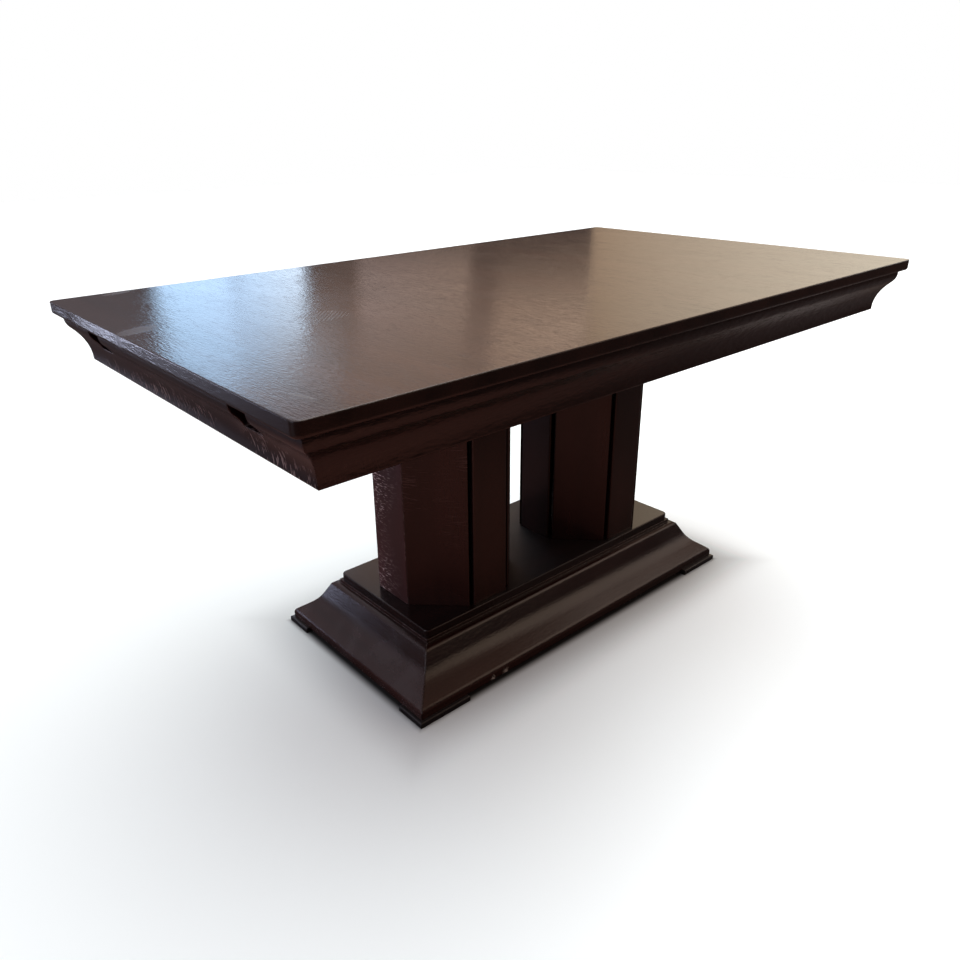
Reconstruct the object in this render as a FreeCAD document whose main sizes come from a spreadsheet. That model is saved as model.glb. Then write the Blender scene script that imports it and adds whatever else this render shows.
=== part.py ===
import FreeCAD, Part
import math
import os
from types import SimpleNamespace

import Sketcher

# Driving dimensions of the table, in millimetres; a name that ends in share is a plain ratio.
DIMENSIONS = {
    # Table top
    "table_height": 760,
    "top_length": 1600,
    "top_width": 940,
    "top_thickness": 24,
    "top_corner_radius": 13,
    "top_upper_round": 1.2,
    "top_under_round": 6,
    # Apron moulding, from its top edge down: fillet, swell, cove and foot
    "apron_setback": 16.5,
    "apron_fillet_height": 9,
    "apron_swell_radius": 28,
    "apron_cove_radius": 80,
    "apron_turn_share": 0.125,
    "apron_foot_height": 6.6,
    "apron_foot_round": 4,
    "apron_foot_thickness": 20,
    "apron_block_leg": 70,
    "apron_block_height": 60,
    # Leaf bearers that slide in slots of the end aprons
    "slot_width": 52,
    "slot_depth": 46,
    "loper_side_gap": 74.9,
    "loper_tail_gap": 52,
    "loper_play": 0.5,
    "loper_recess": 38,
    "loper_end_chamfer": 6,
    "finger_groove_radius": 14,
    "finger_groove_inset": 70,
    "stop_peg_width": 10,
    "stop_peg_grip": 30,
    "stop_peg_drop": 9,
    "stop_peg_play": 0.2,
    "rail_width": 18,
    "keeper_width": 30,
    "keeper_thickness": 12,
    "keeper_end_gap": 9.4,
    # Bearers between the pedestals and the top
    "bearer_width": 90,
    "bearer_thickness": 45,
    "bearer_end_gap": 12,
    "bearer_end_taper": 20,
    "screw_diameter": 8,
    "screw_head_across_flats": 13,
    "screw_head_height": 5.5,
    "screw_bite": 14,
    "screw_play": 0.2,
    "screw_end_distance": 80,
    "glue_block_leg": 30,
    "glue_block_length": 110,
    "glue_block_share": 0.55,
    # Pedestal columns
    "column_half_width": 148.5,
    "column_gap_share": 0.6714,
    "column_face_width": 103,
    "column_board_thickness": 20,
    "column_groove_width": 9,
    "column_board_round": 2.5,
    "column_arris_round": 8,
    "column_block_thickness": 40,
    "octagon_corner_share": 0.0625,
    # Tie rods through the columns
    "rod_diameter": 12,
    "rod_play": 0.3,
    "rod_end": 4,
    "nut_across_flats": 19,
    "nut_height": 10,
    "washer_width": 36,
    "washer_thickness": 3,
    "washer_play": 1,
    # Plinth moulding, from the feet up: band, nose, slope, cove, rise, shoulder, ledge and riser
    "base_length": 974,
    "base_width": 498,
    "foot_length": 125,
    "foot_width": 72,
    "foot_height": 12,
    "foot_lip": 7.5,
    "foot_round": 3,
    "plinth_band_height": 10.5,
    "plinth_nose_radius": 14,
    "plinth_slope_length": 29,
    "plinth_slope_share": 0.15,
    "plinth_cove_radius": 80,
    "plinth_rise_length": 27,
    "plinth_rise_share": 0.0778,
    "plinth_shoulder_radius": 12,
    "plinth_ledge": 5.4,
    "plinth_riser": 8,
    "plinth_seat": 22,
    "plinth_back_depth": 38,
    "plinth_foot_thickness": 50,
    "plinth_block_share": 0.43,
    # Plinth plate
    "plate_step": 2.5,
    "plate_thickness": 17,
    "plate_corner_radius": 12,
    "plate_edge_round": 2.5,
    "cleat_width": 90,
    "cleat_thickness": 40,
    # Cuts run this far past the wood that they go through
    "cut_overrun": 5,
}

FULL_TURN_DEGREES = 360
HALF_TURN_DEGREES = 180
QUARTER_TURN_DEGREES = 90
EIGHTH_TURN_DEGREES = 45
UP = FreeCAD.Vector(0, 0, 1)

doc = FreeCAD.newDocument("dining_table")
sheet = doc.addObject("Spreadsheet::Sheet", "Dims")
for row, (alias, value) in enumerate(DIMENSIONS.items(), start=1):
    sheet.set("A%d" % row, alias)
    sheet.set("B%d" % row, str(value))
    sheet.setAlias("B%d" % row, alias)
doc.recompute()


class Size:
    """A dimension that carries its number and the sheet expression that gives it."""

    def __init__(self, number, text):
        self.number = float(number)
        self.text = text

    def __add__(self, other):
        return Size(self.number + other.number, "(%s + %s)" % (self.text, other.text))

    def __sub__(self, other):
        return Size(self.number - other.number, "(%s - %s)" % (self.text, other.text))

    def __mul__(self, other):
        return Size(self.number * other.number, "(%s * %s)" % (self.text, other.text))

    def __truediv__(self, other):
        return Size(self.number / other.number, "(%s / %s)" % (self.text, other.text))

    def __neg__(self):
        return Size(-self.number, "(-%s)" % self.text)

    def times(self, factor):
        """The dimension taken a plain number of times."""
        return Size(self.number * factor, "(%s * %s)" % (self.text, factor))

    def half(self):
        """Half of the dimension."""
        return self.times(1 / 2)


def sine(share):
    """Sine of an angle that is given as a share of a full turn."""
    return Size(math.sin(share.number * 2 * math.pi), "sin(%d * %s)" % (FULL_TURN_DEGREES, share.text))


def cosine(share):
    """Cosine of an angle that is given as a share of a full turn."""
    return Size(math.cos(share.number * 2 * math.pi), "cos(%d * %s)" % (FULL_TURN_DEGREES, share.text))


dim = SimpleNamespace(**{alias: Size(sheet.get(alias), "Dims.%s" % alias) for alias in DIMENSIONS})
ZERO = Size(0, "0")
ONE = Size(1, "1")
SWELLS, HOLLOWS = "swells", "hollows"
START, END, CENTRE = range(1, 4)
X_AXIS, Y_AXIS = range(-1, -3, -1)
SKETCH_ORIGIN = (X_AXIS, START)
sub_parts = []


def keep(feature, label):
    """Names a finished sub-part after its file and puts it on the list of parts to write."""
    feature.Label = label
    sub_parts.append(feature)
    return feature


def place(feature, x=ZERO, y=ZERO, z=ZERO, turn=0):
    """Places a piece by its sheet sizes, turned about the vertical by a number of degrees."""
    feature.Placement = FreeCAD.Placement(FreeCAD.Vector(), FreeCAD.Rotation(UP, turn))
    for axis, distance in zip("xyz", (x, y, z)):
        feature.setExpression("Placement.Base.%s" % axis, distance.text)
    return feature


def new_body(name):
    return doc.addObject("PartDesign::Body", name)


def new_sketch(body, role):
    """An empty sketch on one of the body's own origin planes."""
    sketch = body.newObject("Sketcher::SketchObject", "%s_sketch" % body.Name)
    plane = [feature for feature in body.Origin.OriginFeatures if feature.Role == role][0]
    sketch.AttachmentSupport = [(plane, "")]
    sketch.MapMode = "FlatFace"
    return sketch


def bind(sketch, constraint, name, size):
    """Adds a constraint to a sketch with its name and its sheet expression."""
    sketch.renameConstraint(sketch.addConstraint(constraint), name)
    sketch.setExpression("Constraints.%s" % name, size.text)


def arc_between(start, end, radius, side):
    """The short arc from start to end, going round anticlockwise where it swells."""
    chord = end - start
    across = FreeCAD.Vector(chord.y, -chord.x, 0).normalize()
    if side == HOLLOWS:
        across = -across
    rise = math.sqrt(radius ** 2 - (chord.Length / 2) ** 2)
    centre = (start + end) / 2 - across * rise
    first, last = (start, end) if side == SWELLS else (end, start)
    angles = [math.atan2(point.y - centre.y, point.x - centre.x) for point in (first, last)]
    return Part.ArcOfCircle(Part.Circle(centre, UP, radius), *angles)


def locate(sketch, curve, point, spot):
    """Ties a point of a curve to the sketch's origin by its two sizes, or to an axis where one is zero."""
    ways = (("DistanceX", "u", Y_AXIS, spot[0]), ("DistanceY", "v", X_AXIS, spot[1]))
    for kind, letter, axis, size in ways:
        if size is ZERO:
            sketch.addConstraint(Sketcher.Constraint("PointOnObject", curve, point, axis))
        else:
            constraint = Sketcher.Constraint(kind, *SKETCH_ORIGIN, curve, point, size.number)
            bind(sketch, constraint, "%s%d" % (letter, curve), size)


def draw_outlines(body, role, outlines):
    """A sketch of closed outlines; each corner is (u, v), with the bend of the side that follows it."""
    sketch = new_sketch(body, role)
    for outline in outlines:
        points = [FreeCAD.Vector(corner[0].number, corner[1].number, 0) for corner in outline]
        sides = []
        for corner, start, end in zip(outline, points, points[1:] + points[:1]):
            bend = corner[2:]
            if bend:
                radius, way = bend
                curve = sketch.addGeometry(arc_between(start, end, radius.number, way), False)
                sides.append((curve, START, END) if way == SWELLS else (curve, END, START))
                bind(sketch, Sketcher.Constraint("Radius", curve, radius.number), "r%d" % curve, radius)
            else:
                curve = sketch.addGeometry(Part.LineSegment(start, end), False)
                sides.append((curve, START, END))
        for (curve, _, last), (after, first_after, _) in zip(sides, sides[1:] + sides[:1]):
            sketch.addConstraint(Sketcher.Constraint("Coincident", curve, last, after, first_after))
        for (curve, first, _), corner in zip(sides, outline):
            locate(sketch, curve, first, corner)
    return sketch


def draw_circles(body, role, centres, diameter):
    """A sketch of equal circles round the given centres."""
    sketch = new_sketch(body, role)
    for spot in centres:
        centre = FreeCAD.Vector(spot[0].number, spot[1].number, 0)
        curve = sketch.addGeometry(Part.Circle(centre, UP, diameter.number / 2), False)
        bind(sketch, Sketcher.Constraint("Diameter", curve, diameter.number), "d%d" % curve, diameter)
        locate(sketch, curve, CENTRE, spot)
    return sketch


def pad(body, sketch, length, symmetric=False):
    """Raises an outline by a length, on one side of its plane or half on each."""
    feature = body.newObject("PartDesign::Pad", "%s_pad" % body.Name)
    feature.Profile = sketch
    feature.SideType = "Symmetric" if symmetric else "One side"
    feature.setExpression("Length", length.text)
    doc.recompute()
    return feature


def cut(body, sketch, depth=None):
    """Cuts an outline into the wood above its plane, or right through it where no depth is given."""
    before = body.Shape.Volume
    feature = body.newObject("PartDesign::Pocket", "%s_cut" % body.Name)
    feature.Profile = sketch
    if depth is None:
        feature.Type = "ThroughAll"
        feature.SideType = "Symmetric"
    else:
        feature.Reversed = True
        feature.setExpression("Length", depth.text)
    doc.recompute()
    if body.Shape.Volume >= before:
        raise RuntimeError("%s: a cut takes no wood away" % body.Name)
    return feature


def ease(body, radius, chosen):
    """Rounds the edges of the body's last feature that the test picks."""
    base = body.Tip
    edges = enumerate(base.Shape.Edges, start=1)
    names = ["Edge%d" % number for number, edge in edges if chosen(edge.BoundBox)]
    feature = body.newObject("PartDesign::Fillet", "%s_round" % body.Name)
    feature.Base = (base, names)
    feature.setExpression("Radius", radius.text)
    doc.recompute()
    return feature


def rectangle(low_u, low_v, high_u, high_v):
    return [(low_u, low_v), (high_u, low_v), (high_u, high_v), (low_u, high_v)]


def rounded_rectangle(half_u, half_v, radius):
    """A rectangle about the origin with round corners."""
    in_u, in_v = half_u - radius, half_v - radius
    return [(-in_u, -half_v), (in_u, -half_v, radius, SWELLS), (half_u, -in_v),
            (half_u, in_v, radius, SWELLS), (in_u, half_v), (-in_u, half_v, radius, SWELLS),
            (-half_u, in_v), (-half_u, -in_v, radius, SWELLS)]


def board(name, half_u, half_v, thickness):
    """A plain board about the origin, lying on its plane."""
    body = new_body(name)
    pad(body, draw_outlines(body, "XY_Plane", [rectangle(-half_u, -half_v, half_u, half_v)]), thickness)
    return body


def group(label, pieces):
    """Several separate solids that share one name."""
    compound = doc.addObject("Part::Compound", label)
    compound.Links = pieces
    return keep(compound, label)


# Levels above the floor and sections that several pieces share
top_underside = dim.table_height - dim.top_thickness
apron_sweep = dim.apron_swell_radius + dim.apron_cove_radius
apron_turn_in = ONE - cosine(dim.apron_turn_share)
apron_foot_inset = dim.apron_setback + apron_sweep * apron_turn_in
apron_back_inset = apron_foot_inset + dim.apron_foot_thickness
apron_cove_drop = dim.apron_fillet_height + apron_sweep * sine(dim.apron_turn_share)
apron_height = apron_cove_drop + dim.apron_foot_height
frame_half_length = dim.top_length.half() - apron_back_inset
frame_half_width = dim.top_width.half() - apron_back_inset
bearer_underside = top_underside - dim.bearer_thickness
rise_sine, rise_cosine = sine(dim.plinth_rise_share), cosine(dim.plinth_rise_share)
slope_sine, slope_cosine = sine(dim.plinth_slope_share), cosine(dim.plinth_slope_share)
nose_top = (dim.foot_lip + dim.plinth_nose_radius * (ONE - slope_cosine),
            dim.plinth_band_height + dim.plinth_nose_radius * slope_sine)
slope_top = (nose_top[0] + dim.plinth_slope_length * slope_sine,
             nose_top[1] + dim.plinth_slope_length * slope_cosine)
cove_top = (slope_top[0] + dim.plinth_cove_radius * (rise_cosine - slope_cosine),
            slope_top[1] + dim.plinth_cove_radius * (slope_sine - rise_sine))
rise_top = (cove_top[0] + dim.plinth_rise_length * rise_sine,
            cove_top[1] + dim.plinth_rise_length * rise_cosine)
shoulder_top = (rise_top[0] + dim.plinth_shoulder_radius * rise_cosine,
                rise_top[1] + dim.plinth_shoulder_radius * (ONE - rise_sine))
riser_inset = shoulder_top[0] + dim.plinth_ledge
plate_inset = riser_inset + dim.plate_step
plinth_back_inset = plate_inset + dim.plinth_seat
plinth_height = shoulder_top[1] + dim.plinth_riser
plinth_back_half_length = dim.base_length.half() - plinth_back_inset
plinth_back_half_width = dim.base_width.half() - plinth_back_inset
plate_half_length = dim.base_length.half() - plate_inset
plate_half_width = dim.base_width.half() - plate_inset
plate_underside = dim.foot_height + plinth_height
plate_top = plate_underside + dim.plate_thickness
column_height = bearer_underside - plate_top
column_room = plate_half_length - dim.column_half_width.times(2)
pedestal_offset = dim.column_half_width + column_room * dim.column_gap_share
octagon_lean = sine(dim.octagon_corner_share) / cosine(dim.octagon_corner_share)
rod_hole_diameter = dim.rod_diameter + dim.rod_play.times(2)
nut_well_depth = dim.washer_thickness + dim.nut_height + dim.rod_end + dim.rod_play
bearer_reach = frame_half_width - dim.bearer_end_gap
screw_hole_diameter = dim.screw_diameter + dim.screw_play.times(2)
screw_offset = bearer_reach - dim.screw_end_distance
loper_offset = frame_half_width - dim.loper_side_gap - dim.rail_width - dim.slot_width.half()
loper_nose = dim.top_length.half() - dim.apron_setback - dim.loper_recess
loper_tail = pedestal_offset + dim.bearer_width.half() + dim.loper_tail_gap
loper_underside = top_underside - dim.slot_depth + dim.loper_play
stop_peg_reach = loper_tail + dim.keeper_width + dim.stop_peg_width.half() + dim.loper_play
SIDES = (-1, 1)
END_NAMES = {-1: "left", 1: "right"}
FACE_NAMES = {-1: "front", 1: "back"}


def make_table_top():
    """Slab with round corners, a soft upper edge, a fuller lower edge and pilot holes underneath."""
    body = new_body("table_top")
    outline = rounded_rectangle(dim.top_length.half(), dim.top_width.half(), dim.top_corner_radius)
    pad(body, draw_outlines(body, "XY_Plane", [outline]), dim.top_thickness)
    middle = dim.top_thickness.number / 2
    ease(body, dim.top_upper_round, lambda box: box.ZMin > middle)
    ease(body, dim.top_under_round, lambda box: box.ZMax < middle)
    centres = [(pedestal_offset.times(end), screw_offset.times(side))
               for end in SIDES for side in SIDES]
    holes = draw_circles(body, "XY_Plane", centres, screw_hole_diameter)
    cut(body, holes, dim.screw_bite + dim.screw_play)
    keep(place(body, z=top_underside), "table_top")


def mitre_waste(length, depth, outer_inset, inner_inset):
    """The two triangles that the mitre saw takes off the ends of a moulding."""
    near, far = outer_inset - dim.cut_overrun, inner_inset + dim.cut_overrun
    outer_y, inner_y = near - depth.half(), far - depth.half()
    wide, narrow = length.half() - near, length.half() - far
    return [[(wide, outer_y), (wide, inner_y), (narrow, inner_y)],
            [(-wide, inner_y), (-wide, outer_y), (-narrow, inner_y)]]


def make_apron(label, length, depth, turn, slotted):
    """Ogee moulding under the edge of the top, mitred at both ends; an end piece has two loper slots."""
    body = new_body(label)
    face = -depth.half()
    swell = dim.apron_swell_radius
    swell_foot = (face + dim.apron_setback + swell * apron_turn_in,
                  -(dim.apron_fillet_height + swell * sine(dim.apron_turn_share)))
    foot_face = face + apron_foot_inset
    profile = [(face + dim.apron_setback, ZERO),
               (face + dim.apron_setback, -dim.apron_fillet_height, swell, SWELLS),
               (*swell_foot, dim.apron_cove_radius, HOLLOWS),
               (foot_face, -apron_cove_drop),
               (foot_face, dim.apron_foot_round - apron_height, dim.apron_foot_round, SWELLS),
               (foot_face + dim.apron_foot_round, -apron_height),
               (face + apron_back_inset, -apron_height),
               (face + apron_back_inset, ZERO)]
    run = length - dim.apron_setback.times(2)
    pad(body, draw_outlines(body, "YZ_Plane", [profile]), run, symmetric=True)
    waste = mitre_waste(length, depth, dim.apron_setback, apron_back_inset)
    cut(body, draw_outlines(body, "XY_Plane", waste))
    if slotted:
        slots = []
        for side in SIDES:
            middle = loper_offset.times(side)
            slots.append(rectangle(middle - dim.slot_width.half(), -dim.slot_depth,
                                   middle + dim.slot_width.half(), dim.cut_overrun))
        cut(body, draw_outlines(body, "XZ_Plane", slots))
    keep(place(body, z=top_underside, turn=turn), label)


def make_aprons():
    make_apron("apron_front", dim.top_length, dim.top_width, 0, False)
    make_apron("apron_back", dim.top_length, dim.top_width, HALF_TURN_DEGREES, False)
    make_apron("apron_left", dim.top_width, dim.top_length, -QUARTER_TURN_DEGREES, True)
    make_apron("apron_right", dim.top_width, dim.top_length, QUARTER_TURN_DEGREES, True)


def corner_blocks(label, half_x, half_y, leg, height, level):
    """Four three-cornered blocks glued into the corners of a mitred frame."""
    blocks = []
    for end in SIDES:
        for side in SIDES:
            body = new_body("%s_%s_%s" % (label, END_NAMES[end], FACE_NAMES[side]))
            corner = (half_x.times(end), half_y.times(side))
            along = (corner[0] - leg.times(end), corner[1])
            across = (corner[0], corner[1] - leg.times(side))
            pad(body, draw_outlines(body, "XY_Plane", [[corner, along, across]]), height)
            blocks.append(place(body, z=level))
    group(label, blocks)


def make_loper(label, end, side):
    """Leaf bearer that slides out under the top, with a finger groove and a mortise for its stop peg."""
    body = new_body(label)
    width = dim.slot_width - dim.loper_play.times(2)
    height = dim.slot_depth - dim.loper_play.times(2)
    chamfer = dim.loper_end_chamfer
    side_view = [(loper_tail, ZERO), (loper_nose - chamfer, ZERO), (loper_nose, chamfer),
                 (loper_nose, height), (loper_tail, height)]
    side_view = [(along.times(end), up) for along, up in side_view]
    pad(body, draw_outlines(body, "XZ_Plane", [side_view]), width, symmetric=True)
    groove = ((loper_nose - dim.finger_groove_inset).times(end), ZERO)
    cut(body, draw_circles(body, "XZ_Plane", [groove], dim.finger_groove_radius.times(2)))
    half = dim.stop_peg_width.half() + dim.stop_peg_play
    middle = stop_peg_reach.times(end)
    mortise = draw_outlines(body, "XY_Plane", [rectangle(middle - half, -half, middle + half, half)])
    cut(body, mortise, dim.stop_peg_grip)
    keep(place(body, y=loper_offset.times(side), z=loper_underside), label)


def make_stop_peg(label, end, side):
    """Square peg in the tail of a loper; it meets a keeper at either end of the travel."""
    half = dim.stop_peg_width.half()
    peg = board(label, half, half, dim.stop_peg_grip + dim.stop_peg_drop - dim.stop_peg_play)
    keep(place(peg, stop_peg_reach.times(end), loper_offset.times(side),
               loper_underside - dim.stop_peg_drop), label)


def make_lopers():
    for end in SIDES:
        for side in SIDES:
            corner = "%s_%s" % (FACE_NAMES[side], END_NAMES[end])
            make_loper("loper_%s" % corner, end, side)
            make_stop_peg("loper_stop_peg_%s" % corner, end, side)


def make_loper_guides():
    """Rails at both sides of each loper, glued under the top, and keepers across below them."""
    rails, keepers = [], []
    rail_half_length = (frame_half_length - loper_tail).half()
    rail_middle = (frame_half_length + loper_tail).half()
    rail_underside = top_underside - dim.slot_depth
    reach = (dim.slot_width + dim.rail_width).half()
    keeper_half_width = dim.keeper_width.half()
    keeper_half_length = dim.slot_width.half() + dim.rail_width
    keeper_middles = (loper_tail + keeper_half_width,
                      frame_half_length - dim.keeper_end_gap - keeper_half_width)
    for end in SIDES:
        for side in SIDES:
            corner = "%s_%s" % (FACE_NAMES[side], END_NAMES[end])
            for edge in SIDES:
                rail = board("rail_%s" % corner, rail_half_length, dim.rail_width.half(), dim.slot_depth)
                offset = loper_offset + reach.times(edge)
                rails.append(place(rail, rail_middle.times(end), offset.times(side), rail_underside))
            for middle in keeper_middles:
                keeper = board("keeper_%s" % corner, keeper_half_width, keeper_half_length,
                               dim.keeper_thickness)
                keepers.append(place(keeper, middle.times(end), loper_offset.times(side),
                                     rail_underside - dim.keeper_thickness))
    group("loper_rails", rails)
    group("loper_keepers", keepers)


def six_sided(name, across_flats, height):
    """A six-sided prism of a given width across its flats."""
    prism = doc.addObject("Part::Prism", name)
    side_count = 6
    prism.Polygon = side_count
    corner_share = ONE.half() / ONE.times(side_count)
    prism.setExpression("Circumradius", (across_flats.half() / cosine(corner_share)).text)
    prism.setExpression("Height", height.text)
    return prism


def make_bearer(label, end):
    """Stout batten across under the top, tapered at its ends, with a square well for the tie rod's nut."""
    body = new_body(label)
    reach, taper = bearer_reach, dim.bearer_end_taper
    side_view = [(taper - reach, ZERO), (reach - taper, ZERO), (reach, taper),
                 (reach, dim.bearer_thickness), (-reach, dim.bearer_thickness), (-reach, taper)]
    pad(body, draw_outlines(body, "YZ_Plane", [side_view]), dim.bearer_width, symmetric=True)
    cut(body, draw_circles(body, "XY_Plane", [(ZERO, ZERO)], rod_hole_diameter))
    screw_places = [(ZERO, screw_offset.times(side)) for side in SIDES]
    cut(body, draw_circles(body, "XY_Plane", screw_places, screw_hole_diameter))
    half = dim.washer_width.half() + dim.washer_play
    well = draw_outlines(body, "XY_Plane", [rectangle(-half, -half, half, half)])
    well.setExpression("AttachmentOffset.Base.z", (dim.bearer_thickness - nut_well_depth).text)
    cut(body, well, nut_well_depth)
    keep(place(body, pedestal_offset.times(end), z=bearer_underside), label)


def make_bearer_screws():
    """Coach screws that draw the top down on its bearers, their six-sided heads below the wood."""
    screws = []
    for end in SIDES:
        for side in SIDES:
            shank = doc.addObject("Part::Cylinder", "screw_shank")
            shank.setExpression("Radius", dim.screw_diameter.half().text)
            shank.setExpression("Height", (dim.bearer_thickness + dim.screw_bite).text)
            place(shank, z=dim.screw_head_height)
            head = six_sided("screw_head", dim.screw_head_across_flats, dim.screw_head_height)
            screw = doc.addObject("Part::Fuse", "bearer_screw")
            screw.Base, screw.Tool = shank, head
            screws.append(place(screw, pedestal_offset.times(end), screw_offset.times(side),
                                bearer_underside - dim.screw_head_height))
    group("bearer_screws", screws)


def make_glue_blocks():
    """Three-cornered blocks rubbed with glue into the angle between each bearer and the top."""
    blocks = []
    leg = dim.glue_block_leg
    offset = bearer_reach * dim.glue_block_share
    for end in SIDES:
        for face in SIDES:
            x = pedestal_offset.times(end) + dim.bearer_width.half().times(face)
            for side in SIDES:
                block = new_body("glue_block")
                section = draw_outlines(block, "XZ_Plane",
                                        [[(ZERO, ZERO), (leg.times(face), ZERO), (ZERO, -leg)]])
                pad(block, section, dim.glue_block_length, symmetric=True)
                blocks.append(place(block, x, offset.times(side), top_underside))
    group("bearer_glue_blocks", blocks)


def column_board_edge(side, face_distance, half_width, shut):
    """Corners of an edge on the octagon's mitre: rounded over a shut joint, or set back for a groove."""
    bend = ()
    if shut:
        radius = dim.column_arris_round
        bend = (radius, SWELLS)
        edge = [(face_distance, half_width - radius * octagon_lean),
                (face_distance - radius * (ONE - cosine(dim.octagon_corner_share)),
                 half_width - radius * (octagon_lean - sine(dim.octagon_corner_share)))]
    else:
        half_width = half_width - dim.column_groove_width.half() / cosine(dim.octagon_corner_share)
        edge = [(face_distance, half_width)]
    thickness = dim.column_board_thickness
    edge.append((face_distance - thickness, half_width - thickness * octagon_lean))
    edge = [(out, along.times(side)) for out, along in edge]
    if side < 0:
        edge.reverse()
        edge[-2] += bend
    else:
        edge[0] += bend
    return edge


def make_column_board(label, end, face_distance, half_width, turn, shut_sides):
    """Upright board of a column, with a soft outer corner at each groove beside it."""
    body = new_body(label)
    outline = []
    for side in SIDES:
        outline += column_board_edge(side, face_distance, half_width, side in shut_sides)
    pad(body, draw_outlines(body, "XY_Plane", [outline]), column_height)
    middle = face_distance.number - dim.column_board_thickness.number / 2
    open_sides = [side for side in SIDES if side not in shut_sides]
    if open_sides:
        ease(body, dim.column_board_round,
             lambda box: box.XMin > middle and box.ZLength > box.YLength
             and any(box.YMin * side > 0 for side in open_sides))
    keep(place(body, pedestal_offset.times(end), z=plate_top, turn=turn), label)


def make_column(end):
    """Eight boards in an octagon, narrow on the faces and wide across the corners, shut at the outer end."""
    column = "%s_column" % END_NAMES[end]
    face_half = dim.column_face_width.half()
    diagonal = cosine(dim.octagon_corner_share.times(2))
    face = (dim.column_half_width, face_half)
    corner = ((dim.column_half_width + face_half) * diagonal,
              (dim.column_half_width - face_half) * diagonal)
    boards = {"right_face": face, "back_right_corner": corner,
              "back_face": face, "back_left_corner": corner,
              "left_face": face, "front_left_corner": corner,
              "front_face": face, "front_right_corner": corner}
    outer = list(boards).index("%s_face" % END_NAMES[end])
    shut = {outer: SIDES, (outer - 1) % len(boards): (1,), (outer + 1) % len(boards): (-1,)}
    for step, (name, (distance, half_width)) in enumerate(boards.items()):
        make_column_board("%s_%s" % (column, name), end, distance, half_width,
                          step * EIGHTH_TURN_DEGREES, shut.get(step, ()))
    make_column_block("%s_top_block" % column, end, bearer_underside - dim.column_block_thickness)
    make_column_block("%s_bottom_block" % column, end, plate_top)


def make_column_block(label, end, level):
    """Eight-sided block that the boards of a column are glued round, bored for the tie rod."""
    body = new_body(label)
    flat = dim.column_half_width - dim.column_board_thickness
    corner = dim.column_face_width.half() - dim.column_board_thickness * octagon_lean
    outline = [(flat, -corner), (flat, corner), (corner, flat), (-corner, flat),
               (-flat, corner), (-flat, -corner), (-corner, -flat), (corner, -flat)]
    pad(body, draw_outlines(body, "XY_Plane", [outline]), dim.column_block_thickness)
    cut(body, draw_circles(body, "XY_Plane", [(ZERO, ZERO)], rod_hole_diameter))
    keep(place(body, pedestal_offset.times(end), z=level), label)


def make_nut(level, x):
    """Six-sided nut with the tie rod's hole through it."""
    bore = doc.addObject("Part::Cylinder", "nut_bore")
    bore.setExpression("Radius", rod_hole_diameter.half().text)
    bore.setExpression("Height", dim.nut_height.text)
    nut = doc.addObject("Part::Cut", "nut")
    nut.Base, nut.Tool = six_sided("nut_outline", dim.nut_across_flats, dim.nut_height), bore
    return place(nut, x, z=level)


def make_washer(level, x):
    """Square plate washer with the tie rod's hole through it."""
    half = dim.washer_width.half()
    washer = board("washer", half, half, dim.washer_thickness)
    cut(washer, draw_circles(washer, "XY_Plane", [(ZERO, ZERO)], rod_hole_diameter))
    return place(washer, x, z=level)


def make_tie_rods():
    """Threaded rods that clamp plinth, columns and bearers together, with a washer and nut at each end."""
    nuts, washers = [], []
    upper_washer = top_underside - nut_well_depth
    upper_nut = upper_washer + dim.washer_thickness
    lower_washer = plate_underside - dim.cleat_thickness - dim.washer_thickness
    lower_nut = lower_washer - dim.nut_height
    low, high = lower_nut - dim.rod_end, upper_nut + dim.nut_height + dim.rod_end
    for end in SIDES:
        label = "%s_tie_rod" % END_NAMES[end]
        x = pedestal_offset.times(end)
        rod = doc.addObject("Part::Cylinder", label)
        rod.setExpression("Radius", dim.rod_diameter.half().text)
        rod.setExpression("Height", (high - low).text)
        keep(place(rod, x, z=low), label)
        nuts += [make_nut(level, x) for level in (upper_nut, lower_nut)]
        washers += [make_washer(level, x) for level in (upper_washer, lower_washer)]
    group("tie_rod_nuts", nuts)
    group("tie_rod_washers", washers)


def make_plinth_moulding(label, length, depth, turn):
    """Deep base moulding, mitred at both ends, with a raked back to save wood."""
    body = new_body(label)
    face = -depth.half()
    back = face + plinth_back_inset
    profile = [(face + dim.foot_lip, ZERO),
               (face + dim.foot_lip + dim.plinth_foot_thickness, ZERO),
               (back, plinth_height - dim.plinth_back_depth),
               (back, plinth_height),
               (face + riser_inset, plinth_height),
               (face + riser_inset, shoulder_top[1]),
               (face + shoulder_top[0], shoulder_top[1], dim.plinth_shoulder_radius, SWELLS),
               (face + rise_top[0], rise_top[1]),
               (face + cove_top[0], cove_top[1], dim.plinth_cove_radius, HOLLOWS),
               (face + slope_top[0], slope_top[1]),
               (face + nose_top[0], nose_top[1], dim.plinth_nose_radius, SWELLS),
               (face + dim.foot_lip, dim.plinth_band_height)]
    run = length - dim.foot_lip.times(2)
    pad(body, draw_outlines(body, "YZ_Plane", [profile]), run, symmetric=True)
    waste = mitre_waste(length, depth, dim.foot_lip, plinth_back_inset)
    cut(body, draw_outlines(body, "XY_Plane", waste))
    keep(place(body, z=dim.foot_height, turn=turn), label)


def make_plinth():
    make_plinth_moulding("plinth_front", dim.base_length, dim.base_width, 0)
    make_plinth_moulding("plinth_back", dim.base_length, dim.base_width, HALF_TURN_DEGREES)
    make_plinth_moulding("plinth_left", dim.base_width, dim.base_length, -QUARTER_TURN_DEGREES)
    make_plinth_moulding("plinth_right", dim.base_width, dim.base_length, QUARTER_TURN_DEGREES)


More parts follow.
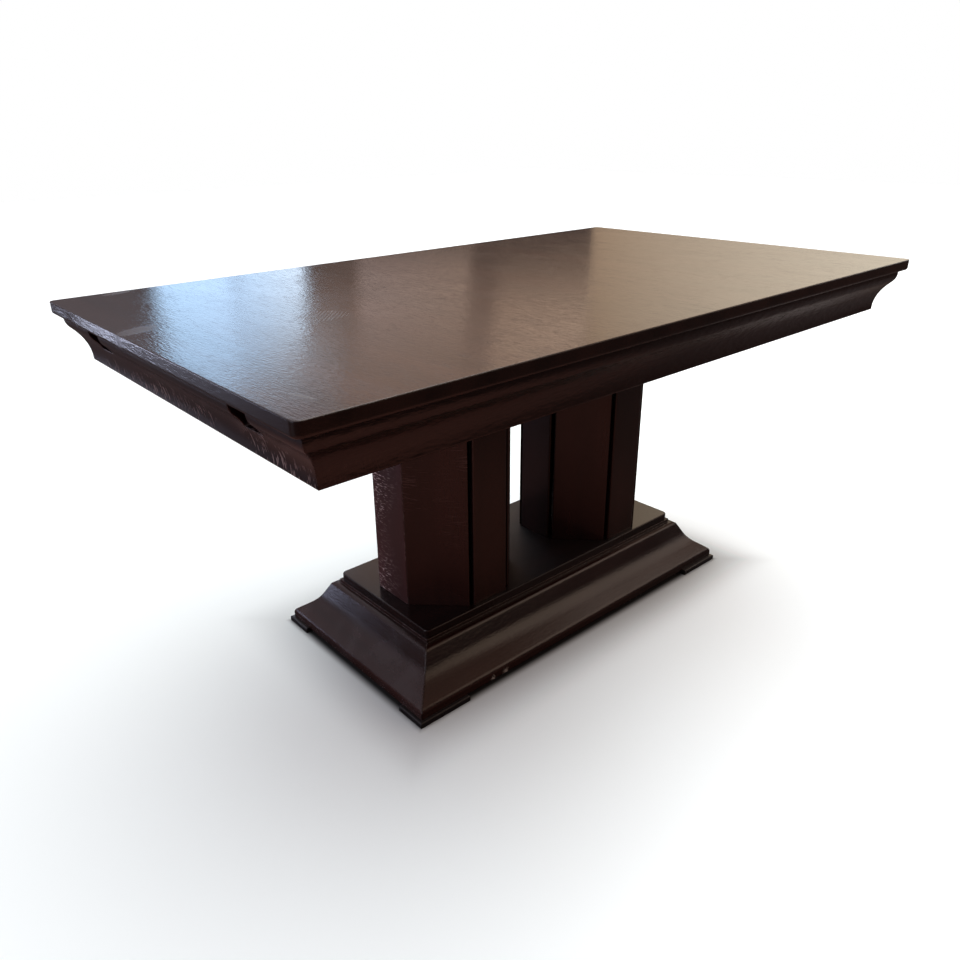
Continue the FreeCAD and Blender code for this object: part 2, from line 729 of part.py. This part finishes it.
def make_plinth_plate():
    """Plate with round corners that closes the plinth and carries both columns."""
    body = new_body("plinth_plate")
    outline = rounded_rectangle(plate_half_length, plate_half_width, dim.plate_corner_radius)
    pad(body, draw_outlines(body, "XY_Plane", [outline]), dim.plate_thickness)
    middle = dim.plate_thickness.number / 2
    ease(body, dim.plate_edge_round, lambda box: box.ZMin > middle)
    holes = [(pedestal_offset.times(end), ZERO) for end in SIDES]
    cut(body, draw_circles(body, "XY_Plane", holes, rod_hole_diameter))
    keep(place(body, z=plate_underside), "plinth_plate")


def make_cleats():
    """Battens across under the plate, one below each column, for the lower ends of the tie rods."""
    for end in SIDES:
        label = "plinth_cleat_%s" % END_NAMES[end]
        cleat = board(label, dim.cleat_width.half(), plinth_back_half_width, dim.cleat_thickness)
        cut(cleat, draw_circles(cleat, "XY_Plane", [(ZERO, ZERO)], rod_hole_diameter))
        keep(place(cleat, pedestal_offset.times(end), z=plate_underside - dim.cleat_thickness), label)


def make_feet():
    """Flat pads under the corners of the plinth, standing out as a small lip."""
    middle = dim.foot_height.number / 2
    for end in SIDES:
        for side in SIDES:
            label = "foot_%s_%s" % (FACE_NAMES[side], END_NAMES[end])
            foot = board(label, dim.foot_length.half(), dim.foot_width.half(), dim.foot_height)
            ease(foot, dim.foot_round, lambda box: box.ZMin > middle)
            keep(place(foot, (dim.base_length - dim.foot_length).half().times(end),
                       (dim.base_width - dim.foot_width).half().times(side)), label)


make_feet()
make_plinth()
plinth_end_room = plinth_back_half_length - pedestal_offset - dim.cleat_width.half()
corner_blocks("plinth_corner_blocks", plinth_back_half_length, plinth_back_half_width,
              plinth_end_room * dim.plinth_block_share, dim.plinth_back_depth,
              plate_underside - dim.plinth_back_depth)
make_cleats()
make_plinth_plate()
for column_end in SIDES:
    make_column(column_end)
    make_bearer("bearer_%s" % END_NAMES[column_end], column_end)
make_tie_rods()
make_table_top()
make_bearer_screws()
make_glue_blocks()
make_aprons()
corner_blocks("apron_corner_blocks", frame_half_length, frame_half_width, dim.apron_block_leg,
              dim.apron_block_height, top_underside - dim.apron_block_height)
make_loper_guides()
make_lopers()

doc.recompute()
failed = [item.Label for item in doc.Objects if {"Invalid", "Error"} & set(item.State)]
failed += [item.Label for item in sub_parts if item.Shape.isNull() or not item.Shape.isValid()]
if failed:
    raise RuntimeError("these pieces did not build: %s" % ", ".join(failed))
os.makedirs("parts", exist_ok=True)
for item in sub_parts:
    item.Shape.exportStep("parts/%s.step" % item.Label)
print("%d parts written" % len(sub_parts))
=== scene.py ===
import bpy
import numpy as np
from mathutils import Matrix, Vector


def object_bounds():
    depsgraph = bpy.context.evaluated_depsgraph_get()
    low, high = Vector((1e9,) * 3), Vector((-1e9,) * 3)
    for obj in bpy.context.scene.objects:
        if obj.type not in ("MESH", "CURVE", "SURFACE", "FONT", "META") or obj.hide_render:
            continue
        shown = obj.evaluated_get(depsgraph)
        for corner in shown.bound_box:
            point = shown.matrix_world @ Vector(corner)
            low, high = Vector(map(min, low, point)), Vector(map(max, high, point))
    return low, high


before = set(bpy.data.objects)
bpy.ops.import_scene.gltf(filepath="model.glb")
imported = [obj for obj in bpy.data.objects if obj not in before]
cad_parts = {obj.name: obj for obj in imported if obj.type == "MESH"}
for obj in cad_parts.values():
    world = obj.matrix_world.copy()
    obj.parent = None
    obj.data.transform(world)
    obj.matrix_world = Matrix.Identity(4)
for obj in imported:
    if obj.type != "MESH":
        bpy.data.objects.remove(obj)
cad_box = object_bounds()

# Foot pads: four flat pads of oak under the corners of the plinth, planed to one height and glued on.
# Their upper edge is eased where it stands out as a lip; floor dust has greyed them and shoes have scuffed the edges.


class Field:
    """A value that varies over a surface: one socket of a node tree, with arithmetic that adds Math nodes."""

    def __init__(self, tree, socket):
        self.tree = tree
        self.socket = socket

    def node(self, kind, settings, inputs, output=0):
        """Adds one node: its settings come first, then each socket gets its value or its link."""
        added = self.tree.nodes.new("ShaderNode" + kind)
        for key, value in settings.items():
            setattr(added, key, value)
        for key, value in inputs.items():
            if isinstance(value, Field):
                self.tree.links.new(value.socket, added.inputs[key])
            else:
                added.inputs[key].default_value = value
        return Field(self.tree, added.outputs[output])

    def feed(self, socket):
        """Links this field to a shader's socket."""
        self.tree.links.new(self.socket, socket)

    def maths(self, operation, *terms):
        """One Math node on the terms given."""
        return self.node("Math", {"operation": operation}, dict(enumerate(terms)))

    def __add__(self, other):
        return self.maths("ADD", self, other)

    def __sub__(self, other):
        return self.maths("SUBTRACT", self, other)

    def __rsub__(self, other):
        return self.maths("SUBTRACT", other, self)

    def __mul__(self, other):
        return self.maths("MULTIPLY", self, other)

    __radd__ = __add__
    __rmul__ = __mul__

    def between(self, low, high):
        """0 below low, 1 above high, and a smooth step from one to the other."""
        limits = {"From Min": low, "From Max": high}
        return self.node("MapRange", {"interpolation_type": "SMOOTHSTEP"}, {"Value": self, **limits})

    def moved(self, operation, vector):
        """The same vector field after one step of vector arithmetic."""
        return self.node("VectorMath", {"operation": operation}, {0: self, 1: vector})

    def dot(self, vector):
        """How far a vector field reaches along another vector."""
        return self.node("VectorMath", {"operation": "DOT_PRODUCT"}, {0: self, 1: vector}, output="Value")

    def distance(self, place):
        """How far a vector field is from one place."""
        return self.node("VectorMath", {"operation": "DISTANCE"}, {0: self, 1: place}, output="Value")

    def part(self, axis):
        """One of the three parts of a vector field."""
        return self.node("SeparateXYZ", {}, {0: self}, output=axis)

    def noise(self, scales, detail, start):
        """Cloudy noise on a vector field, with its own number of cells per metre along each axis."""
        stretched = self.moved("MULTIPLY", scales).moved("ADD", (start, start * 2, start * 3))
        settings = {"Vector": stretched, "Scale": 1, "Detail": detail, "Roughness": 0.55}
        return self.node("TexNoise", {}, settings)

    def tint(self, first, second):
        """A colour: the first one where this share is 0, the second where it is 1."""
        return self.node("Mix", {"data_type": "RGBA"}, {"Factor": self, 6: first, 7: second}, output=2)

    def blend(self, share, other):
        """This colour mixed with another one by a share from 0 to 1."""
        return self.node("Mix", {"data_type": "RGBA"}, {"Factor": share, 6: self, 7: other}, output=2)


def new_finish(name):
    """An empty material: its node tree's object coordinates as a field, and its shader."""
    material = bpy.data.materials.new(name)
    material.use_nodes = True
    tree = material.node_tree
    places = Field(tree, tree.nodes.new("ShaderNodeTexCoord").outputs["Object"])
    return material, places, tree.nodes["Principled BSDF"]


def drawn_out(fibre, along, across):
    """Three values, one per axis: the first along the fibre and the second across it."""
    values = [across, across, across]
    values[fibre] = along
    return values


def stained_oak(name, fibre, stain, rough, grain=1.0, flecks=0.0, cells=(420, 60), gather=None, marks=None,
                peel=0.0, waves=(70, 300)):
    """Oak under dark stain and thin satin varnish.

    Noise drawn out along the fibre gives the tone, the streaks and the open pores. Noise drawn out across the
    fibre, bent by a slower one, gives the ray flecks; cells says how fine they are along and across the fibre, and
    gather names an axis with the two places between which they come in. A bevel's normal against the face's own
    finds the worn edges. Marks is a function of the places that gives the share of bared wood, its colour and how
    much duller it is. Peel is the depth of the small waves that brushed varnish dries to, and waves says how many
    of them there are to the metre, along and across the fibre.
    """
    edge_radius = 0.003
    ray_sway = 0.03
    relief_strength, relief_depth = 0.3, 0.0003
    material, places, shader = new_finish(name)
    deep, warm, pale = stain

    def grown(along, across, detail, start):
        return places.noise(drawn_out(fibre, along, across), detail, start)

    tone = grown(1.3, 13, 3, 1.1)
    streaks = grown(3, 110, 2, 2.3)
    pores = grown(36, 400, 2, 3.7).between(0.54, 0.68)
    ripple = grown(50, 280, 4, 4.9)
    smudge = places.noise((7, 7, 7), 4, 8.5)
    rounded = places.node("Bevel", {"samples": 4}, {"Radius": edge_radius})
    flat = places.node("NewGeometry", {}, {}, output="Normal")
    patchy = places.noise((60, 60, 60), 3, 9.7).between(0.45, 0.62)
    worn = (1 - rounded.dot(flat)).between(0.03, 0.25) * patchy

    colour = tone.between(0.3, 0.7).tint(deep, warm)
    colour = colour.blend(streaks.between(0.5, 0.75) * (0.45 * grain), warm).blend(pores * (0.5 * grain), deep)
    gloss = rough + (smudge - 0.5) * 0.14 + pores * (0.07 * grain) + worn * 0.1
    height = (ripple * 1.6 - pores * 0.5) * (0.7 * grain)
    if peel:
        height = height + grown(*waves, 2, 12.7) * peel
    if flecks:
        bend = {0: drawn_out(fibre, ray_sway, 0), "Scale": grown(14, 8, 1, 5.3)}
        bent = places.moved("ADD", places.node("VectorMath", {"operation": "SCALE"}, bend))
        rays = bent.noise(drawn_out(fibre, *cells), 1, 6.1).between(0.58, 0.68) * flecks
        rays = rays * grown(3.5, 5, 1, 7.9).between(0.42, 0.6)
        if gather:
            axis, first, last = gather
            rays = rays * places.part(axis).between(first, last)
        colour = colour.blend(rays.maths("MINIMUM", rays, 1), pale)
        height = height + rays * (0.4 * grain)
    colour = colour.blend(worn * 0.3, pale)
    if marks:
        bared, shade, dulled = marks(places)
        colour = colour.blend(bared, shade)
        gloss = gloss + dulled
    colour.feed(shader.inputs["Base Color"])
    gloss.feed(shader.inputs["Roughness"])
    relief = {"Strength": relief_strength, "Distance": relief_depth, "Height": height, "Normal": rounded}
    places.node("Bump", {}, relief).feed(shader.inputs["Normal"])
    return material


def dress(finish, *names):
    """Gives CAD nodes their finish."""
    for name in names:
        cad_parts[name].material_slots[0].material = finish


ALONG_X, ALONG_Y, ALONG_Z = range(3)
SATIN = 0.2
foot_stain = ((0.007, 0.0058, 0.0060, 1), (0.015, 0.0125, 0.0130, 1), (0.16, 0.15, 0.15, 1))
foot_finish = stained_oak("foot_oak", ALONG_X, foot_stain, SATIN + 0.08, 0.4)
dress(foot_finish, "foot_front_left", "foot_front_right", "foot_back_left", "foot_back_right")

# Plinth mouldings: four lengths of one deep oak moulding, with shoulder, cove, slope and nose, mitred at the corners
# and glued round corner blocks. The lower edge of the front one has lost two small chips down to pale wood.


def front_chips(places):
    """Two spots on the front band, each a distance from its middle torn by noise, and the colour of bare oak."""
    band_face = -0.2415
    chipped = 0
    for x, z, reach in ((-0.293, 0.0145, 0.008), (-0.257, 0.0140, 0.010)):
        tear = (places.noise((300, 300, 420), 3, 10.3) - 0.5) * (reach * 3.4)
        torn = places.distance((x, band_face, z)) + tear
        chipped = (1 - torn.between(reach * 0.55, reach * 0.7)) + chipped
    return chipped, (0.40, 0.36, 0.32, 1), chipped * 0.3


def end_dust(places):
    """A thin film of dust in patches, and pale specks low down: the peaks of fine noise."""
    low = places.part(ALONG_Z).between(0.035, 0.02)
    specks = places.noise((520, 520, 520), 1, 11.9).between(0.72, 0.78) * low
    film = places.noise((16, 16, 16), 4, 14.9).between(0.42, 0.66)
    return specks + film * 0.035, (0.34, 0.32, 0.34, 1), specks * 0.3


plinth_stain = ((0.013, 0.0036, 0.0024, 1), (0.030, 0.0082, 0.0058, 1), (0.16, 0.10, 0.09, 1))
plinth_long = stained_oak("plinth_long_oak", ALONG_X, plinth_stain, SATIN, 0.3, marks=front_chips, peel=3.0)
dress(plinth_long, "plinth_front", "plinth_back")
plinth_short = stained_oak("plinth_short_oak", ALONG_Y, plinth_stain, SATIN, 0.3, marks=end_dust, peel=3.0)
dress(plinth_short, "plinth_left", "plinth_right")

# Blocks and cleats in the plinth: plain planed softwood, glued in out of sight and left bare.
# The cleats lie across under the plate and take the pull of the tie rods.


def bare_wood(name, fibre):
    """Bare planed wood: pale noise drawn out along the fibre, darker bands of late wood, dust and grey age."""
    material, places, shader = new_finish(name)
    bands = places.noise(drawn_out(fibre, 1.6, 42), 3, 1.9)
    fibres = places.noise(drawn_out(fibre, 14, 700), 2, 2.7)
    dust = places.noise((9, 9, 9), 4, 3.3)
    pale, late, grey = (0.34, 0.20, 0.105, 1), (0.20, 0.105, 0.05, 1), (0.19, 0.15, 0.115, 1)
    colour = bands.between(0.42, 0.62).tint(pale, late)
    colour = colour.blend(fibres.between(0.55, 0.75) * 0.4, late).blend(dust.between(0.4, 0.75) * 0.55, grey)
    colour.feed(shader.inputs["Base Color"])
    (0.62 + dust * 0.25).feed(shader.inputs["Roughness"])
    relief = {"Strength": 0.4, "Distance": 0.0005, "Height": fibres - bands * 0.4}
    places.node("Bump", {}, relief).feed(shader.inputs["Normal"])
    return material


bare_along_x, bare_along_y, bare_along_z = [
    bare_wood(f"bare_wood_{letter}", fibre) for fibre, letter in enumerate("xyz")]
dress(bare_along_z, "plinth_corner_blocks")
dress(bare_along_y, "plinth_cleat_left", "plinth_cleat_right")

# Plinth plate: one oak plate with round corners, laid on the mouldings, which carry it; both columns stand on it.
# It lies flat and is polished by cleaning, so it shines more than the mouldings do, but not between the columns.


def unwiped(places):
    """The strip between the columns that no cloth reaches: dull, with next to no dust on it."""
    lengthwise = places.part(ALONG_X)
    strip = lengthwise.maths("ABSOLUTE", lengthwise).between(0.25, 0.16)
    return strip * 0.002, (0.34, 0.32, 0.32, 1), strip * 0.32


moulding_stain = ((0.006, 0.0020, 0.0016, 1), (0.014, 0.0044, 0.0036, 1), (0.16, 0.10, 0.09, 1))
plate_finish = stained_oak("plate_oak", ALONG_X, moulding_stain, SATIN - 0.04, 0.3, marks=unwiped)
dress(plate_finish, "plinth_plate")

# Columns: eight upright oak boards each, narrow on the faces and wide on the corners, with shadow grooves between.
# The outer end faces show the most ray fleck, the boards beside them a little, and the others none.
column_stain = ((0.013, 0.0040, 0.0029, 1), (0.029, 0.0090, 0.0068, 1), (0.24, 0.15, 0.14, 1))
# The end boards' stain is near three times as light as the other boards': painted light on the end faces; their ray
# fleck is the wood's own.
figured_and_lit_stain = ((0.036, 0.0110, 0.0110, 1), (0.080, 0.0250, 0.0255, 1), (0.64, 0.50, 0.49, 1))
figured = stained_oak("column_figured_oak", ALONG_Z, figured_and_lit_stain, SATIN + 0.14, 0.6, 1.8, (560, 95),
                      (ALONG_Y, -0.05, 0.035))
crossed = stained_oak("column_crossed_oak", ALONG_Z, column_stain, SATIN, 0.5, 0.5, (300, 26),
                      (ALONG_Z, 0.2, 0.35))
plain = stained_oak("column_plain_oak", ALONG_Z, column_stain, SATIN, 0.5)
directions = ("right_face", "back_right_corner", "back_face", "back_left_corner",
              "left_face", "front_left_corner", "front_face", "front_right_corner")
for end in ("left", "right"):
    dress(plain, *(f"{end}_column_{direction}" for direction in directions))
    dress(figured, f"{end}_column_{end}_face")
    dress(crossed, f"{end}_column_front_{end}_corner", f"{end}_column_back_{end}_corner")
    dress(plain, f"{end}_column_top_block", f"{end}_column_bottom_block")

# Tie rods, nuts and washers: plain mild steel with a dull zinc coat; the rods are modelled without their threads.
# They clamp cleat, plate, column and bearer together; coach screws hold the top down on the bearers.


def dull_steel(name):
    """Zinc-coated steel: blotched grey with fine drawn lines along the rod and a little brown rust."""
    material, places, shader = new_finish(name)
    lines = places.noise((900, 900, 30), 2, 1.3)
    blotch = places.noise((70, 70, 70), 4, 2.9)
    rusted = places.noise((150, 150, 150), 5, 4.1).between(0.58, 0.72)
    bright, dull, rust = (0.42, 0.41, 0.39, 1), (0.25, 0.245, 0.235, 1), (0.13, 0.06, 0.028, 1)
    blotch.between(0.35, 0.65).tint(bright, dull).blend(rusted, rust).feed(shader.inputs["Base Color"])
    (1 - rusted).feed(shader.inputs["Metallic"])
    (0.36 + lines * 0.2 + rusted * 0.3).feed(shader.inputs["Roughness"])
    relief = {"Strength": 0.3, "Distance": 0.0003, "Height": lines}
    places.node("Bump", {}, relief).feed(shader.inputs["Normal"])
    return material


steel = dull_steel("zinc_steel")
dress(steel, "left_tie_rod", "right_tie_rod", "tie_rod_nuts", "tie_rod_washers", "bearer_screws")

# Bearers and glue blocks: stout battens across under the top, over the columns, with glue blocks in their corners.
# Nobody sees them, so they are planed and left bare.
dress(bare_along_y, "bearer_left", "bearer_right", "bearer_glue_blocks")

# Table top: oak boards glued edge to edge into one slab, their grain running across the table.
# Open pores under thin satin varnish break up what the top reflects; wiping and knocks have left a few dull marks.
frame_top = cad_box[1][2]


def top_marks(places):
    """Leaning ovals with soft rims, one of them cut into scratches by a wave along it, over faint wiping streaks."""
    marked = 0
    spots = (((-0.768, 0.098), (0.054, 0.026), -0.41, 0), ((-0.745, -0.390), (0.030, 0.005), 1.3, 0),
             ((-0.673, 0.452), (0.045, 0.014), -0.2, 0), ((-0.488, -0.022), (0.048, 0.050), 0.77, 950))
    for (x, y), reach, turn, lines in spots:
        local = places.moved("SUBTRACT", (x, y, frame_top))
        local = local.node("VectorRotate", {"rotation_type": "Z_AXIS"}, {"Vector": local, "Angle": turn})
        oval = 1 - local.moved("DIVIDE", (*reach, 1)).distance((0, 0, 0)).between(0.3, 1.1)
        if lines:
            wave = local.part(ALONG_X) * lines
            oval = oval * wave.maths("SINE", wave).between(0.2, 0.8) * 1.7
        marked = oval + marked
    wipes = places.noise((60, 7, 5), 3, 13.3) - 0.5
    return marked * 0.2, (0.16, 0.13, 0.125, 1), marked * 0.26 + wipes * 0.16


top_rough = 0.128
top_stain = ((0.007, 0.0030, 0.0022, 1), (0.020, 0.0085, 0.0062, 1), (0.06, 0.033, 0.028, 1))
top_finish = stained_oak("top_oak", ALONG_Y, top_stain, top_rough, 1.2, marks=top_marks, peel=2.8)
dress(top_finish, "table_top")

# Aprons: four ogee mouldings mitred under the edge of the top, with blocks glued in their corners.
# The two end ones are notched at the top edge for the lopers, and ray flecks stand thick along their lower edge.
apron_long = stained_oak("apron_long_oak", ALONG_X, moulding_stain, SATIN - 0.06, 0.25, 0.1, peel=11.0,
                         waves=(50, 140))
dress(apron_long, "apron_front", "apron_back")
end_stain = ((0.007, 0.0018, 0.0020, 1), (0.017, 0.0045, 0.0052, 1), (0.34, 0.25, 0.24, 1))
apron_short = stained_oak("apron_short_oak", ALONG_Y, end_stain, SATIN, 0.3, 0.9, (330, 55), (ALONG_Z, 0.73, 0.66))
dress(apron_short, "apron_left", "apron_right")
dress(bare_along_z, "apron_corner_blocks")

# Lopers: pull-out bearers for a table leaf, of the same stained oak, each with a square stop peg.
# They run between bare rails and over keepers, which the pegs meet when the lopers are pulled right out.
loper_finish = stained_oak("loper_oak", ALONG_X, moulding_stain, SATIN + 0.1, 0.6)
for end in ("left", "right"):
    for side in ("front", "back"):
        dress(loper_finish, f"loper_{side}_{end}")
        dress(bare_along_z, f"loper_stop_peg_{side}_{end}")
dress(bare_along_x, "loper_rails")
dress(bare_along_y, "loper_keepers")

# Studio: a white floor that only the camera sees, over a brown one that only the table sees; both carry painted light
# and shade in their colours.
# Soft light comes from above, from behind and from the left; the panels are what the varnish mirrors.
scene = bpy.context.scene


def quad(name, corners, finish):
    """One flat sheet of the studio, from its four corners in turn; it isn't part of the table."""
    mesh = bpy.data.meshes.new(name)
    mesh.from_pydata([list(map(float, corner)) for corner in corners], [], [(0, 1, 2, 3)])
    mesh.materials.append(finish)
    sheet = bpy.data.objects.new(name, mesh)
    scene.collection.objects.link(sheet)
    return sheet


def beside_base(places):
    """How far a place on the floor lies outside the base: negative under it."""
    base_half = (0.49, 0.25, 0)
    spans = places.moved("ABSOLUTE", (0, 0, 0)).moved("SUBTRACT", base_half)
    along, across = spans.part(ALONG_X), spans.part(ALONG_Y)
    return along.maths("MAXIMUM", along, across)


floor_half = 14.0
floor_step = 0.001
floor_corners = np.array([(-1, -1, 0), (1, -1, 0), (1, 1, 0), (-1, 1, 0)]) * floor_half
black = (0, 0, 0, 1)
white, white_places, white_shader = new_finish("floor_white")
white_shader.inputs["Roughness"].default_value = 1.0
white_shader.inputs["Specular IOR Level"].default_value = 0.0
white_shader.inputs["Emission Strength"].default_value = 1.0
picture_right = (0.76, -0.65, 0)
beside = beside_base(white_places)
sideways = white_places.dot(picture_right)
# Painted shade: the floor is darker towards the left, and near black just round and under the base, a painted contact
# shadow.
floor_painted_shade = sideways.between(-1.3, 0.0).tint((0.62, 0.66, 0.665, 1), (0.78, 0.84, 0.85, 1))
floor_painted_shade = floor_painted_shade.blend(beside.between(0.010, -0.014), (0.03, 0.03, 0.03, 1))
floor_painted_shade.feed(white_shader.inputs["Base Color"])
# Painted light: the floor glows, more to the right and far off, and not at all near the base, which adds to the
# painted shade there.
floor_painted_glow = sideways.between(-0.3, 0.6).tint((0.16, 0.165, 0.167, 1), (0.39, 0.395, 0.397, 1))
floor_painted_glow = floor_painted_glow.blend(beside.between(0.13, -0.01), black)
floor_painted_glow = floor_painted_glow.blend(beside.between(0.9, 3.5), (0.5, 0.5, 0.5, 1))
floor_painted_glow.feed(white_shader.inputs["Emission Color"])
underneath = beside.node("NewGeometry", {}, {}, output="Backfacing")
open_below = underneath.node("BsdfTransparent", {}, {})
from_above = Field(white.node_tree, white_shader.outputs["BSDF"])
one_sided = underneath.node("MixShader", {}, {0: underneath, 1: from_above, 2: open_below})
one_sided.feed(white.node_tree.nodes["Material Output"].inputs["Surface"])
white_floor = quad("white_floor", floor_corners, white)
white_floor.visible_diffuse = False
white_floor.visible_glossy = False
white_floor.visible_shadow = False

brown, brown_places, brown_shader = new_finish("floor_brown")
brown_shader.inputs["Roughness"].default_value = 0.5
brown_shader.inputs["Specular IOR Level"].default_value = 0.3
# Painted light and shade in the brown floor's colour: a lit pool round the front left, a bright patch off the right
# end, and painted shade close round the base.
painted_pool_centre, painted_patch_centre = (-0.8, -0.8, 0), (1.7, 0.2, 0)
brown_floor_painted_light = brown_places.distance(painted_pool_centre).between(0.4, 1.9).tint((0.29, 0.118, 0.090, 1), (0.030, 0.015, 0.014, 1))
brown_floor_painted_light = brown_floor_painted_light.blend(brown_places.distance(painted_patch_centre).between(0.9, 0.3), (0.15, 0.130, 0.130, 1))
brown_floor_painted_light = brown_floor_painted_light.blend(beside_base(brown_places).between(0.2, 0.03), (0.022, 0.018, 0.019, 1))
brown_floor_painted_light.feed(brown_shader.inputs["Base Color"])
brown_floor = quad("brown_floor", floor_corners - (0, 0, floor_step), brown)
brown_floor.visible_camera = False

world = bpy.data.worlds.new("studio")
scene.world = world
world.use_nodes = True
sky_tree = world.node_tree
sky_tree.nodes.clear()
heading = Field(sky_tree, sky_tree.nodes.new("ShaderNodeTexCoord").outputs["Generated"])
depth = heading.part(ALONG_Y)
lowered = heading.part(ALONG_Z) + depth.maths("MINIMUM", depth, 0) * 0.35
low, cool, warm = (0.07, 0.06, 0.06, 1), (0.46, 0.42, 0.47, 1), (0.36, 0.22, 0.165, 1)
zenith = (3.1, 3.1, 3.1, 1)
warm_side, bright_spot = (0.8, -0.6, 0), (0.06, 0.2, 0.978)
rightward, overhead = heading.dot(warm_side), heading.dot(bright_spot)
mirrored = heading.node("LightPath", {}, {}, output="Is Glossy Ray")
shown = heading.node("LightPath", {}, {}, output="Is Camera Ray")
sky = rightward.between(-0.5, 0.5).tint(cool, warm).blend(lowered.between(0.4, 0.05), low)
sky = sky.blend(overhead.between(0.72, 0.97) * (1 - mirrored * 0.85), zenith)
backdrop = sky.blend(shown, (1, 1, 1, 1))
sky_output = sky_tree.nodes.new("ShaderNodeOutputWorld")
backdrop.node("Background", {}, {"Color": backdrop}).feed(sky_output.inputs["Surface"])


def panel(name, azimuths, foot, tops, distance, colours, shares=(1.0, 1.0)):
    """A soft light wall that the varnish mirrors, placed by headings and heights seen from the camera's mirror image.

    Its colour runs from the first to the second one across the wall, times a share that runs from foot to head.
    """
    eye = np.array([camera_place[0], camera_place[1], 2 * frame_top - camera_place[2]])
    feet = [eye + distance * np.array([np.cos(turn), np.sin(turn), np.tan(np.radians(foot))])
            for turn in np.radians(azimuths)]
    heads = [corner + (0, 0, distance * (np.tan(np.radians(top)) - np.tan(np.radians(foot))))
             for corner, top in zip(feet, tops)]
    finish, places, shader = new_finish(name)
    local = places.moved("SUBTRACT", feet[0])
    across = (feet[1] - feet[0]) / np.dot(feet[1] - feet[0], feet[1] - feet[0])
    glow = local.dot(across).tint((*colours[0], 1), (*colours[1], 1))
    raised = local.part(ALONG_Z) * (1 / (heads[0][2] - feet[0][2]))
    glow = glow.blend(1 - (shares[0] + raised * (shares[1] - shares[0])), black)
    glow.feed(shader.inputs["Emission Color"])
    shader.inputs["Emission Strength"].default_value = 1.0
    shader.inputs["Base Color"].default_value = black
    shader.inputs["Specular IOR Level"].default_value = 0.0
    wall = quad(name, [feet[0], feet[1], heads[1], heads[0]], finish)
    wall.visible_camera = False
    wall.visible_shadow = False


camera_place = (-1.1941, -1.2243, 1.0580)
panel("window_left", (70.4, 65.35), 6.5, (18.5, 16.0), 5.0, ((1.35, 2.0, 2.8), (1.5, 2.1, 2.9)))
panel("window_right", (65.2, 60.6), 6.5, (16.0, 13.5), 5.0, ((1.5, 2.1, 2.9), (2.0, 2.4, 2.9)), (1.0, 0.7))
panel("window_glow", (69.5, 58.5), 13.0, (18.8, 18.8), 5.3, ((1.2, 1.3, 1.55), (0.80, 0.70, 0.69)))
panel("brown_wall", (60.4, 40.8), 6.5, (20.0, 20.0), 5.4, ((0.88, 0.63, 0.53), (0.94, 0.63, 0.46)), (0.03, 1.12))
panel("pale_frame", (57.0, 49.1), 8.4, (14.0, 13.6), 5.2, ((0.82, 0.62, 0.56), (0.84, 0.60, 0.47)), (0.7, 1.0))
panel("lamp_glow", (47.5, 40.8), 11.5, (17.0, 16.5), 5.2, ((0.98, 0.68, 0.50), (1.25, 0.90, 0.66)))
panel("warm_wall", (40.6, 10.0), 1.0, (18.0, 18.0), 5.0, ((1.08, 0.76, 0.51), (3.2, 2.92, 2.36)), (0.3, 1.0))
panel("side_glow", (113.0, 97.0), -5.2, (2.0, 2.0), 4.6, ((1.9, 2.05, 2.95), (5.8, 6.2, 8.0)))
panel("front_wall", (-6.0, -48.0), 12.5, (36.5, 33.0), 5.6, ((1.35, 1.05, 0.90), (1.1, 0.80, 0.58)))
panel("right_glow", (6.0, -20.0), 4.5, (13.5, 12.5), 5.7, ((3.0, 2.95, 3.0), (0.6, 0.48, 0.43)))


def softbox(name, place, aim, size, radiance, colour):
    """A square area light at a place, turned to shine at an aim."""
    light = bpy.data.lights.new(name, "AREA")
    light.size = size
    light.color = colour
    light.energy = radiance * size * size * np.pi
    back = np.subtract(place, aim) / np.linalg.norm(np.subtract(place, aim))
    side = np.cross((0, 0, 1), back) / np.linalg.norm(np.cross((0, 0, 1), back))
    pose = np.eye(4)
    pose[:3, :3] = np.column_stack([side, np.cross(back, side), back])
    pose[:3, 3] = place
    lamp = bpy.data.objects.new(name, light)
    lamp.matrix_world = Matrix(pose.tolist())
    lamp.visible_camera = False
    scene.collection.objects.link(lamp)


softbox("back_light", (1.4, 1.7, 3.6), (0, 0, 0.4), 2.4, 3.6, (1.0, 0.97, 0.93))
softbox("left_light", (-4.2, 0.3, 1.3), (0, 0, 0.5), 2.2, 2.0, (0.86, 0.88, 1.0))

# Camera: the photograph's own place, tilt and angle of view, fitted to the corners and edges of the table.
# The lens and its shift are worked out from the fit's focal length and principal point, both in pixels.
photo_side = 960
focal_pixels = 797.05
principal = (466.58, 479.71)
camera_data = bpy.data.cameras.new("camera")
camera_data.sensor_width = 36.0
camera_data.lens = focal_pixels * camera_data.sensor_width / photo_side
camera_data.shift_x = (photo_side / 2 - principal[0]) / photo_side
camera_data.shift_y = (principal[1] - photo_side / 2) / photo_side
camera = bpy.data.objects.new("camera", camera_data)
right = (0.756427, -0.653899, -0.015310)
up = (0.277038, 0.299096, 0.913122)
back = (-0.592511, -0.694951, 0.407399)
stand = np.eye(4)
stand[:3, :3] = np.column_stack([right, up, back])
stand[:3, 3] = camera_place
camera.matrix_world = Matrix(stand.tolist())
scene.collection.objects.link(camera)
scene.camera = camera
scene.view_settings.view_transform = "Standard"
